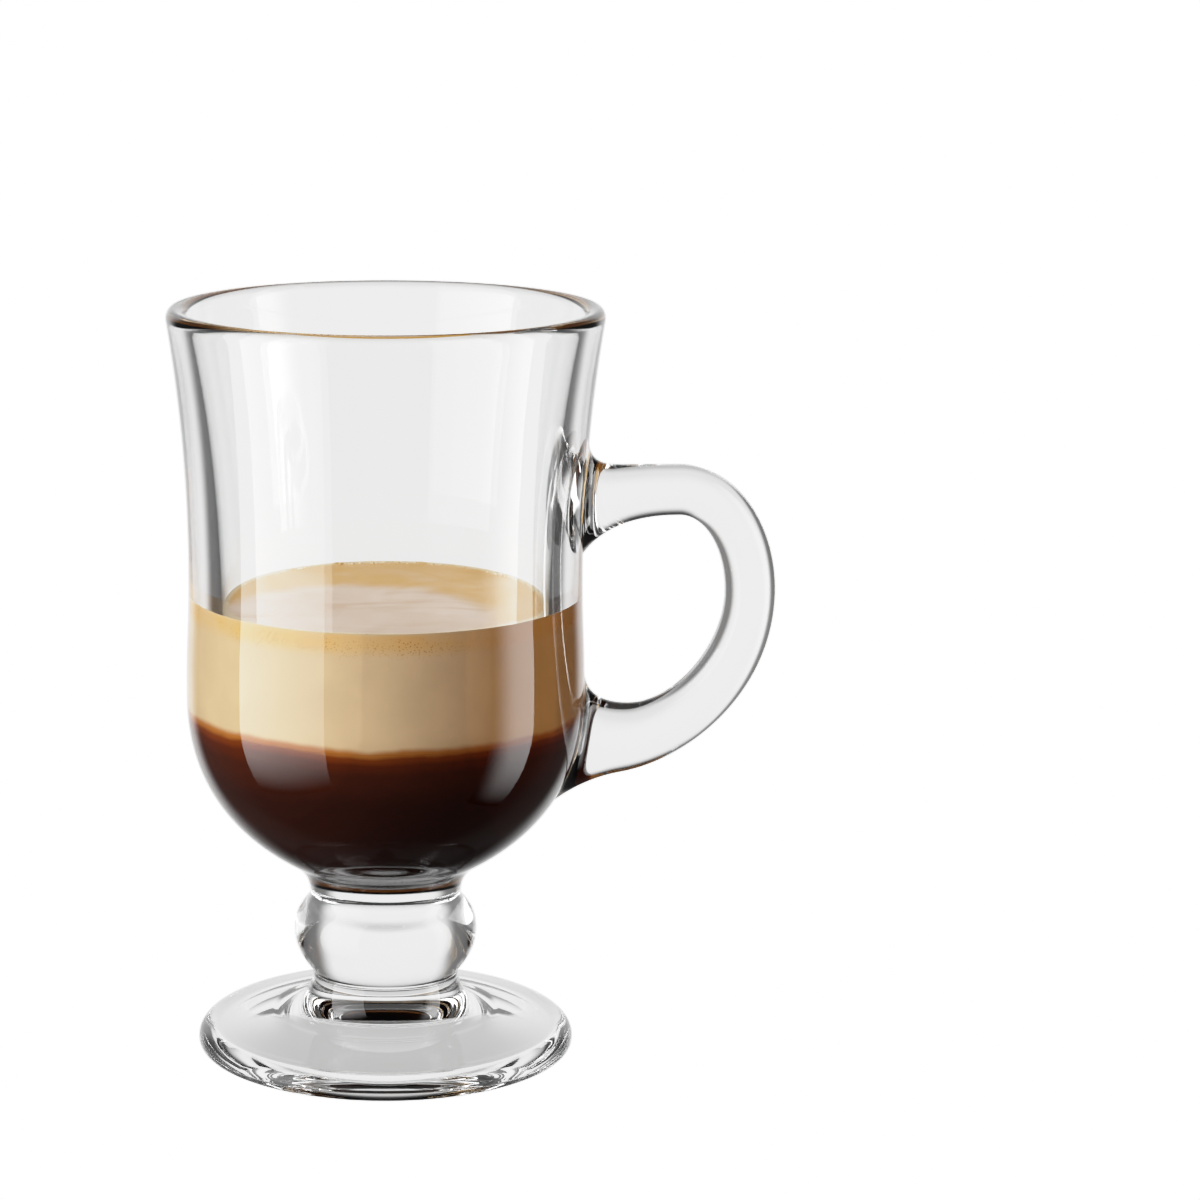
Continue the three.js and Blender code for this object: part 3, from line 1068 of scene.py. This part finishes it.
@dataclass
class GlassHandle:
    """The strap handle with its crowned faces, drawn out of the wall at two flared roots."""

    lift: float = 19.0
    reach: float = 33.8
    depth: float = 9.0
    strap: float = 9.0
    arch_run: float = 17.3
    arch_rise: float = 23.0
    arm_drop: float = 33.0
    arm_width: float = 12.7
    arm_slope: float = 10.5
    arm_run: float = 13.0
    arm_bend: float = 18.0
    upper_fillet: float = 4.4
    upper_run: float = 5.2
    lower_fillet: float = 6.0
    lower_run: float = 6.5
    gap_bend: float = 10.0
    gap_floor_run: float = 8.0
    gap_upper_corner: float = 7.0
    gap_upper_lean: float = 5.0
    gap_lower_corner: float = 6.6
    root_flare: float = 2.8
    flare_grade: float = 3.0
    squareness: float = 2.1
    root_squareness: float = 2.0
    section_points: int = 96
    steps: tuple[int, ...] = (44, 12, 30, 34, 44)

    def outlines(self, bowl: GlassBowl) -> list[tuple[Curve, Curve]]:
        """Draws the strap's outer and inner outline from the upper root to the lower one.

        Args:
            bowl: The bowl whose wall carries the handle.

        Returns:
            The outer and the inner curve of each stretch of the strap.
        """
        middle = bowl.belly + self.lift
        tip = bowl.belly_radius + self.reach
        hub = (tip - self.arch_run, middle)
        crown = middle + self.arch_rise
        root_top = bowl.wall_at(crown + self.upper_fillet)
        shoulder = bowl.wall_at(crown) + self.upper_run
        slope = math.radians(self.arm_slope)
        arm = (bowl.belly_radius + self.lower_run, middle - self.arm_drop)
        heel = arm[1] - self.lower_fillet
        knee = (arm[0] - self.lower_run, arm[1] - self.lower_run * math.tan(slope))
        arm_lead = (arm[0] + self.arm_run * math.cos(slope), arm[1] + self.arm_run * math.sin(slope))
        gap_tip = tip - self.strap
        gap_top = crown - self.strap
        gap_floor = arm[1] + self.arm_width
        gap_foot = gap_floor + self.gap_lower_corner
        foot_wall = bowl.wall_at(gap_foot)
        sill = foot_wall + self.gap_floor_run
        gap_head = gap_top - self.gap_upper_corner
        gap_wall = bowl.wall_at(gap_head)
        eave = Path((gap_wall, gap_head), (gap_wall + self.gap_upper_lean, gap_top), (hub[0], gap_top))
        root = share_at(eave, shoulder, 0)
        return [
            (
                Path((root_top, crown + self.upper_fillet), (root_top, crown), (shoulder, crown)),
                Stretch(eave, 0, root),
            ),
            (Path((shoulder, crown), (hub[0], crown)), Stretch(eave, root, 1)),
            (
                Arc(hub, (self.arch_run, self.arch_rise), 90, 0),
                Arc(hub, (self.arch_run - self.strap, gap_top - middle), 90, 0),
            ),
            (
                Path((tip, middle), (tip, middle - self.arm_bend), arm_lead, arm),
                Path(
                    (gap_tip, middle),
                    (gap_tip, middle - self.gap_bend),
                    (sill + self.gap_floor_run, gap_floor),
                    (sill, gap_floor),
                ),
            ),
            (
                Path(arm, knee, (bowl.wall_at(heel), heel)),
                Path((sill, gap_floor), (foot_wall, gap_floor), (foot_wall, gap_foot)),
            ),
        ]

    def rings(self, bowl: GlassBowl) -> list[list[Vector]]:
        """Draws the strap's sections from root to root, the first and last of them on the wall.

        Args:
            bowl: The bowl whose wall carries the handle.

        Returns:
            The sections' points in millimetres.
        """
        rings: list[list[Vector]] = []
        pulls: list[float] = []
        last = len(self.steps) - 1
        for number, ((outer, inner), steps) in enumerate(zip(self.outlines(bowl), self.steps)):
            for i in range(min(number, 1), steps + 1):
                t = i / steps
                pulls.append({0: 1 - t, last: t}.get(number, 0.0))
                rings.append(self.ring(Vector(outer.at(t)), Vector(inner.at(t)), pulls[-1]))
        half = len(rings) // 2
        for end, near in ((rings[0], range(half)), (rings[-1], range(half, len(rings)))):
            onto = [math.sqrt(bowl.wall_at(p.z) ** 2 - p.y**2) - p.x for p in end]
            for k in near:
                for p, shift in zip(rings[k], onto):
                    p.x += shift * pulls[k] ** 2
        return rings

    def ring(self, outer: Vector, inner: Vector, pull: float) -> list[Vector]:
        """Draws one section between two points of the outlines, between an oval and a rectangle.

        Args:
            outer: Point of the outer outline.
            inner: Point of the inner outline.
            pull: How near the wall the section is, from 0 on the strap to 1 on the wall.

        Returns:
            The section's points in millimetres, once round.
        """
        middle, across = (outer + inner) / 2, (outer - inner).normalized()
        half_width = (outer - inner).length / 2
        half_depth = self.depth / 2 + self.root_flare * pull**self.flare_grade
        eased = pull * pull * (3 - 2 * pull)
        power = self.squareness + (self.root_squareness - self.squareness) * eased
        points: list[Vector] = []
        for i in range(self.section_points):
            turn = math.tau * i / self.section_points
            aside, deep = math.cos(turn), math.sin(turn)
            size = (abs(aside) ** power + abs(deep) ** power) ** (-1 / power)
            u, v = half_width * aside * size, half_depth * deep * size
            points.append(Vector((middle.x + u * across.x, v, middle.y + u * across.y)))
        return points

    def build(self, rings: Loops, glass: Material, fused: Material) -> Object:
        """Makes the handle's mesh through its sections, with a joint at each root.

        Args:
            rings: The sections.
            glass: The glass.
            fused: The joints.

        Returns:
            The handle.
        """
        draft = MeshDraft()
        numbered = [[draft.point(*p) for p in reversed(ring)] for ring in rings]
        for first, second in zip(numbered, numbered[1:]):
            draft.bridge(first, second, GlassFace.POLISHED)
        draft.face(numbered[0][::-1], GlassFace.FUSED)
        draft.face(numbered[-1], GlassFace.FUSED)
        return draft.build("handle_glass", [glass, fused])


@dataclass
class Drink:
    """The two layers that fill the bowl: espresso below, milk foam with a curved edge above."""

    clearance: float = 0.02
    climb: float = 0.12
    climb_reach: float = 2.2
    climb_turn: float = 0.3
    unevenness: float = 0.22
    waves: tuple[Triple, ...] = ((0.09, 0.0, 1.0), (0.3, 7.0, 0.4))
    sides: int = 160
    coffee_spacing: float = 1.0
    coffee_top_spacing: float = 3.0
    foam_spacing: float = 0.8
    edge_spacing: float = 0.25
    crown_spacing: float = 0.9

    def __post_init__(self) -> None:
        """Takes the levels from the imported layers."""
        self.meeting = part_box("coffee")[1].z / MM
        self.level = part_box("milk_foam")[1].z / MM
        self.edge = self.level + self.climb

    def coffee(self, bowl: GlassBowl, material: Material) -> Object:
        """Makes the espresso, which follows the rounded floor of the bowl.

        Args:
            bowl: The bowl that holds it.
            material: The espresso against the glass.

        Returns:
            The espresso.
        """
        floor = bowl.inside(self.clearance)[0]
        shore = share_at(floor, self.meeting, 1)
        top = Path(floor.at(shore), (0.0, self.meeting))
        bands = [
            Band((Stretch(floor, 0, shore),), FoamFace.WALL, self.coffee_spacing),
            Band((top,), FoamFace.WALL, self.coffee_top_spacing),
        ]
        return turned_piece("espresso_layer", bands, self.sides, [material])

    def foam(self, bowl: GlassBowl, wall: Material, crown: Material) -> Object:
        """Makes the milk foam, which climbs a little where it meets the glass.

        Args:
            bowl: The bowl that holds it.
            wall: The foam against the glass.
            crown: The foam's open top.

        Returns:
            The foam.
        """
        floor, side = bowl.inside(self.clearance)
        base = self.meeting + self.clearance
        shore, edge = share_at(floor, base, 1), share_at(side, self.edge, 1)
        rim = side.at(edge)
        lap = (rim[0] - self.climb_reach, self.level)
        climb = Path(rim, (rim[0] - self.climb_turn, self.level), lap)
        bands = [
            Band((Path((0.0, base), floor.at(shore)),), FoamFace.WALL),
            Band((Stretch(floor, shore, 1), Stretch(side, 0, edge)), FoamFace.WALL, self.foam_spacing),
            Band((climb,), FoamFace.CROWN, self.edge_spacing),
            Band((Path(lap, (0.0, self.level)),), FoamFace.CROWN, self.crown_spacing),
        ]
        draft = MeshDraft()
        draft.turn(bands, self.sides)
        for number, (x, y, z) in enumerate(draft.points):
            inward = rim[0] - math.hypot(x, y)
            if z >= self.level - NEARLY_ZERO and inward > NEARLY_ZERO:
                wave = sum(noise.noise(Vector((x, y, row)) * fine) * tall for fine, row, tall in self.waves)
                share = min(1.0, inward / self.climb_reach)
                draft.points[number] = (x, y, z + wave * self.unevenness * share)
        return draft.build("milk_foam_layer", [wall, crown])


@dataclass
class FoamBubbles:
    """The small bubbles that gather where the foam meets the glass, most of them at the back."""

    radius: float
    level: float
    count: int = 900
    band: float = 1.5
    smallest: float = 0.09
    largest: float = 0.36
    fineness: float = 2.0
    backward: Fade = (-0.4, 0.8)
    cluster_grain: Grain = Grain(130.0)
    clusters: Fade = (0.38, 0.62)
    seed: int = 11
    segments: int = 8
    rings: int = 6

    def tree(self) -> NodeTree:
        """Makes the tree that scatters bubbles along a circle.

        Returns:
            The tree, with named inputs in metres.
        """
        inputs = dict.fromkeys(BUBBLE_SIZES, "Float")
        inputs |= {"Count": "Int", "Seed": "Int", "Bubble": "Material"}
        sheet = new_group("Geometry", "bubble_rim", inputs, {"Geometry": "Geometry"})
        given = sheet.add("NodeGroupInput").outputs
        place = sheet.add("GeometryNodeInputPosition")

        def draw(number: int, high: object) -> NodeSocket:
            """Draws a value from 0 up for each point, from a row of draws with its own number."""
            # Inputs 2 and 3 bound a number; the ones that Min and Max name bound a vector
            bounds = {2: 0.0, 3: high, "Seed": sheet.math("ADD", given["Seed"], number)}
            return sheet.add("FunctionNodeRandomValue", bounds, data_type="FLOAT").outputs[1]

        circle = {"Vertices": given["Count"], "Radius": given["Radius"]}
        inset = sheet.math("ADD", given["Largest"], draw(0, given["Band"]))
        drawn_in = sheet.math("SUBTRACT", 1.0, sheet.math("DIVIDE", inset, given["Radius"]))
        lift = sheet.add("ShaderNodeCombineXYZ", {"Z": given["Level"]})
        lifted = sheet.vector("ADD", sheet.scaled(place, drawn_in), lift)
        spread = {"Geometry": sheet.add("GeometryNodeMeshCircle", circle), "Position": lifted}
        behind = sheet.add("ShaderNodeSeparateXYZ", {0: place}).outputs["Y"]
        share = sheet.times(
            sheet.fade(sheet.math("DIVIDE", behind, given["Radius"]), *self.backward),
            sheet.fade(sheet.cloud(place, self.cluster_grain), *self.clusters),
        )
        bare = sheet.math("GREATER_THAN", draw(1, 1.0), share)
        moved = sheet.add("GeometryNodeSetPosition", spread)
        kept = sheet.add("GeometryNodeDeleteGeometry", {"Geometry": moved, "Selection": bare})
        round_ball = {"Segments": self.segments, "Rings": self.rings, "Radius": 1.0}
        ball = sheet.add("GeometryNodeMeshUVSphere", round_ball)
        fine = sheet.math("POWER", draw(2, 1.0), self.fineness)
        room = sheet.math("SUBTRACT", given["Largest"], given["Smallest"])
        size = sheet.math("MULTIPLY_ADD", fine, room, given["Smallest"])
        placed = {"Points": kept, "Instance": ball, "Scale": size}
        bubbles = sheet.add("GeometryNodeInstanceOnPoints", placed)
        whole = sheet.add("GeometryNodeRealizeInstances", {0: bubbles})
        smooth = sheet.add("GeometryNodeSetShadeSmooth", {"Geometry": whole})
        skinned = sheet.add("GeometryNodeSetMaterial", {"Geometry": smooth, "Material": given["Bubble"]})
        sheet.add("NodeGroupOutput", {"Geometry": skinned})
        return sheet.tree

    def build(self, skin: Material) -> Object:
        """Scatters the bubbles and turns them into a plain mesh.

        Args:
            skin: The bubbles' material.

        Returns:
            The bubbles.
        """
        piece = linked("foam_bubbles", bpy.data.meshes.new("foam_bubbles"))
        modifier = piece.modifiers.new("bubble_rim", "NODES")
        modifier.node_group = self.tree()
        sizes = (self.radius, self.level, self.band, self.smallest, self.largest)
        values = {label: size * MM for label, size in zip(BUBBLE_SIZES, sizes)}
        values |= {"Count": self.count, "Seed": self.seed, "Bubble": skin}
        for item in modifier.node_group.interface.items_tree:
            if item.in_out == "INPUT":
                modifier[item.identifier] = values[item.name]
        evaluated = piece.evaluated_get(bpy.context.evaluated_depsgraph_get())
        mesh = bpy.data.meshes.new_from_object(evaluated)
        piece.modifiers.remove(modifier)
        piece.data = mesh
        return piece


def flat_sheet(name: str, corners: Sequence[Vector], material: Material, hidden: Sequence[str]) -> None:
    """Makes a four-cornered sheet that belongs to the stage.

    Args:
        name: The sheet's name.
        corners: Its corners in millimetres.
        material: Its material.
        hidden: The kinds of ray that don't see it.
    """
    mesh = bpy.data.meshes.new(name)
    mesh.from_pydata([c * MM for c in corners], [], [(0, 1, 2, 3)])
    mesh.materials.append(material)
    sheet = linked(name, mesh, hidden)


@dataclass(frozen=True)
class Panel:
    """An upright lit panel beside the mug, which only shows as a reflection in the glass."""

    name: str
    azimuth: float
    width: float
    bottom: float
    lower_fade: float
    glow: Point
    glow_run: float
    distance: float = 250.0
    top: float = 420.0
    upper_fade: float = 260.0

    def build(self) -> None:
        """Makes the panel, facing the mug, uneven from side to side and dimmed at both ends."""
        angle = math.radians(self.azimuth)
        away = Vector((math.sin(angle), -math.cos(angle), 0.0))
        along = Vector((math.cos(angle), math.sin(angle), 0.0))
        corners = [
            away * self.distance + along * (self.width / 2 * side) + Vector((0.0, 0.0, height))
            for side, height in ((-1, self.bottom), (1, self.bottom), (1, self.top), (-1, self.top))
        ]
        material, sheet = new_material(self.name)
        spot = sheet.spot()
        height = sheet.add("ShaderNodeSeparateXYZ", {0: spot}).outputs["Z"]
        edge = -self.width / 2 * MM
        aside = sheet.vector("DOT_PRODUCT", spot, along)
        across = sheet.fade(aside, edge, edge + self.glow_run * MM, *self.glow)
        dim, dim_top = (self.bottom + self.lower_fade) * MM, (self.top - self.upper_fade) * MM
        strength = sheet.times(
            sheet.fade(height, self.bottom * MM, dim, 0.0, across),
            sheet.fade(height, self.top * MM, dim_top, 0.0, sheet.by_glass_alone()),
        )
        light = sheet.add("ShaderNodeEmission", {"Strength": strength})
        clear = sheet.add("ShaderNodeBsdfTransparent")
        sheet.surface(sheet.either(sheet.straight_through(), light, clear))
        flat_sheet(self.name, corners, material, ("camera", "diffuse", "shadow"))


@dataclass(frozen=True)
class Lamp:
    """A soft lamp that lights the drink and doesn't show in the glass."""

    name: str
    azimuth: float
    elevation: float
    size: float
    power: float
    colour: Colour = WHITE
    distance: float = 400.0
    aim: float = 75.0

    def build(self) -> None:
        """Makes the lamp, aimed at the drink."""
        turn, lift = math.radians(self.azimuth), math.radians(self.elevation)
        away = Vector((math.sin(turn) * math.cos(lift), -math.cos(turn) * math.cos(lift), math.sin(lift)))
        data = bpy.data.lights.new(self.name, "AREA")
        data.size = self.size * MM
        data.energy = self.power
        data.color = self.colour
        lamp = linked(self.name, data, ("camera", "glossy", "transmission"))
        lamp.location = (away * self.distance + Vector((0.0, 0.0, self.aim))) * MM
        lamp.rotation_euler = (-away).to_track_quat("-Z", "Y").to_euler()


@dataclass
class Studio:
    """The white floor, the bright ground behind the mug, and the soft light round it.

    A rise is an angle above the table and a turn one away from straight behind, both in degrees.
    """

    floor_half: float = 4000.0
    floor_drop: float = 0.05
    shade_half: float = 70.0
    shade_core: float = 26.0
    shade: float = 0.64
    white: float = 1.6
    behind: float = 1.16
    beside: float = 0.08
    before: float = 0.5
    below: float = 0.8
    above: float = 0.4
    gloom: float = 0.04
    edge_on: float = 0.22
    around: float = 0.62
    below_rise: Fade = (-38.0, -18.0)
    above_rise: Fade = (36.0, 16.0)
    table_rise: Fade = (-40.0, -62.0)
    mirrored_rise: Fade = (-48.0, -20.0)
    before_rise: Fade = (-20.0, -13.0)
    roof_rise: Fade = (45.0, 28.0)
    behind_turn: Fade = (42.0, 26.0)
    around_turn: Fade = (56.0, 80.0)
    beside_turn: Fade = (85.0, 60.0)
    before_turn: Fade = (95.0, 130.0)
    fittings: tuple[Panel | Lamp, ...] = (
        Panel("left_panel", -60, width=255, bottom=-150, lower_fade=180, glow=(5.1, 3.1), glow_run=255),
        Panel("right_panel", 73.5, width=134, bottom=-200, lower_fade=240, glow=(0.2, 5.0), glow_run=80),
        Lamp("key_lamp", azimuth=-60, elevation=12, size=340, power=3.05),
        Lamp("warm_fill", azimuth=86, elevation=8, size=260, power=0.95, colour=(1.0, 0.60, 0.27)),
        Lamp("top_lamp", azimuth=-24, elevation=74, size=300, power=1.4, distance=450),
        Lamp("amber_glow", azimuth=180, elevation=5, size=300, power=0.25, colour=(1.0, 0.42, 0.10)),
    )

    def square(self, half: float) -> list[Vector]:
        """Gives the corners of a square that lies just under the mug."""
        places = ((-half, -half), (half, -half), (half, half), (-half, half))
        return [Vector((x, y, -self.floor_drop)) for x, y in places]

    def floor(self) -> None:
        """Makes the white floor that the camera sees."""
        material, sheet = new_material("white_floor")
        sheet.surface(sheet.add("ShaderNodeEmission", {"Strength": self.white}))
        flat_sheet("floor", self.square(self.floor_half), material, ("diffuse", "glossy", "transmission"))

    def shaded_table(self) -> None:
        """Makes the table that shows through the foot, dimmer there in the shade of the glass."""
        material, sheet = new_material("shaded_table")
        reach = sheet.vector("LENGTH", sheet.spot())
        lit = sheet.fade(reach, self.shade_core * MM, self.shade_half * MM)
        lit = sheet.math("MAXIMUM", lit, sheet.math("SUBTRACT", 1.0, sheet.straight_through()))
        strength = sheet.times(sheet.by_glass_alone(), self.shade)
        light = sheet.add("ShaderNodeEmission", {"Strength": strength})
        sheet.surface(sheet.either(lit, light, sheet.add("ShaderNodeBsdfTransparent")))
        hidden = ("camera", "diffuse", "glossy", "shadow")
        flat_sheet("shaded_table", self.square(self.shade_half), material, hidden)

    def surround(self) -> None:
        """Makes the ground that the glass sees: bright behind, dim beside, and dark above and below."""
        world = bpy.data.worlds.new("studio")
        world.use_nodes = True
        world.node_tree.nodes.clear()
        sheet = NodeSheet(world.node_tree)
        way = sheet.add("ShaderNodeTexCoord").outputs["Generated"]
        parts = sheet.add("ShaderNodeSeparateXYZ", {0: way}).outputs
        rise = sheet.math("DEGREES", sheet.math("ARCSINE", parts["Z"]))
        aside = sheet.math("ABSOLUTE", parts["X"])
        turn = sheet.math("DEGREES", sheet.math("ARCTAN2", aside, parts["Y"]))

        level = sheet.fade(rise, *self.below_rise, self.below)
        level = sheet.times(level, sheet.fade(rise, *self.above_rise, self.above))
        side = sheet.fade(turn, *self.around_turn, self.edge_on, self.around)
        through = sheet.fade(turn, *self.behind_turn, side, sheet.times(level, self.behind))
        through = sheet.fade(rise, *self.table_rise, through, self.around)

        level = sheet.times(level, sheet.fade(rise, *self.mirrored_rise, self.gloom), self.behind)
        mirrored = sheet.fade(turn, *self.behind_turn, self.beside, level)
        dimmed = sheet.fade(turn, *self.beside_turn, self.gloom / self.beside)
        front = sheet.fade(rise, *self.before_rise, self.gloom, self.before)
        ahead = sheet.fade(turn, *self.before_turn)
        mirrored = sheet.between(ahead, sheet.times(mirrored, dimmed), front)

        glow = sheet.between(sheet.straight_through(), mirrored, through)
        glow = sheet.times(glow, sheet.fade(rise, *self.roof_rise))
        glow = sheet.times(sheet.math("MAXIMUM", glow, self.gloom), sheet.by_glass_alone())
        path = sheet.add("ShaderNodeLightPath")
        seen = sheet.math("MAXIMUM", glow, sheet.times(path.outputs["Is Camera Ray"], self.white))
        light = sheet.add("ShaderNodeBackground", {"Color": WHITE, "Strength": seen})
        sheet.add("ShaderNodeOutputWorld", {"Surface": light})
        world.cycles.sampling_method = "NONE"
        bpy.context.scene.world = world

    def build(self) -> None:
        """Makes the floor, the surround, the panels and the lamps."""
        self.floor()
        self.shaded_table()
        self.surround()
        for fitting in self.fittings:
            fitting.build()


@dataclass(frozen=True)
class PhotoCamera:
    """The camera at the photograph's viewing angle and framing."""

    distance: float = 647.0
    height: float = 219.2
    pitch: float = 13.5
    focal_pixels: float = 3711.0
    axis_pixel: Point = (385.6, 701.8)
    image_pixels: float = 1200.0
    sensor: float = 36.0
    white: float = 1.6
    tone: tuple[Point, ...] = (
        (0.1, 0.1), (0.25, 0.25), (0.45, 0.45), (0.6, 0.59),
        (0.8, 0.74), (1.0, 0.83), (1.25, 0.885), (1.45, 0.94),
    )
    tone_curve: int = 3
    bounces: tuple[tuple[str, int], ...] = (
        ("max_bounces", 32),
        ("transmission_bounces", 28),
        ("glossy_bounces", 12),
        ("transparent_max_bounces", 48),
    )

    def develop(self) -> None:
        """Gives the picture the soft shoulder of a photograph, so that bright glass keeps its shape."""
        look = bpy.context.scene.view_settings
        look.view_transform = "Standard"
        look.use_curve_mapping = True
        mapping = look.curve_mapping
        mapping.white_level = (self.white,) * 3
        for light, print_value in self.tone:
            mapping.curves[self.tone_curve].points.new(light / self.white, print_value)
        mapping.update()

    def build(self) -> None:
        """Makes the camera and gives the scene its colours and light bounces."""
        data = bpy.data.cameras.new("photo_camera")
        data.sensor_width = self.sensor
        data.lens = self.focal_pixels / self.image_pixels * self.sensor
        data.shift_x = 0.5 - self.axis_pixel[0] / self.image_pixels
        data.shift_y = self.axis_pixel[1] / self.image_pixels - 0.5
        camera = linked("photo_camera", data)
        camera.location = (0.0, -self.distance * MM, self.height * MM)
        camera.rotation_euler = (math.radians(90 - self.pitch), 0.0, 0.0)
        scene = bpy.context.scene
        scene.camera = camera
        self.develop()
        for name, count in self.bounces:
            setattr(scene.cycles, name, count)
        scene.cycles.use_denoising = True


def fit(piece: Object, node: str, slot: Slot) -> None:
    """Puts a finished piece in the place of its node.

    Args:
        piece: The piece.
        node: The node that it stands for.
        slot: The record's finish for the piece; not used.
    """
    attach(piece, "root")
    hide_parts(node)
    log.info("%s stands for %s with %d faces", piece.name, node, len(piece.data.polygons))


def main() -> None:
    """Builds the glass, the drink and the studio."""
    logging.basicConfig(level=logging.INFO)
    ripple, place = ripple_group(), place_group()
    fused = FusedJoint().make()
    bowl_glass = ClearGlass("bowl_clear_glass").make(ripple)
    handle_glass = ClearGlass("handle_clear_glass", ripple_size=6.0).make(ripple)
    foot_glass = ClearGlass("foot_clear_glass", ripple_size=7.0).make(ripple)

    bowl, handle, drink = GlassBowl(), GlassHandle(), Drink()
    layers = LayeredDrink(drink.meeting, drink.level).side_group(place)
    wall = bowl.inside()[1]
    rim = wall.at(share_at(wall, drink.edge, 1))[0]
    rings = handle.rings(bowl)

    fit(GlassFoot().build(foot_glass, fused), "foot", Slot.GLASS)
    fit(GlassStem().build(foot_glass, fused), "stem_knop", Slot.GLASS)
    fit(bowl.build((rings[0], rings[-1]), drink.edge, bowl_glass, fused), "bowl", Slot.GLASS)
    fit(handle.build(rings, handle_glass, fused), "handle", Slot.GLASS)
    coffee_side = DrinkOnGlass("espresso_on_glass").make(layers)
    foam_side = DrinkOnGlass("foam_on_glass").make(layers)
    fit(drink.coffee(bowl, coffee_side), "coffee", Slot.COFFEE)
    fit(drink.foam(bowl, foam_side, FoamCrown(rim).make(place)), "milk_foam", Slot.FOAM)
    fit(FoamBubbles(rim, drink.level).build(BubbleSkin().make()), "milk_foam", Slot.FOAM)

    Studio().build()
    PhotoCamera().build()


if __name__ == "__main__":
    main()
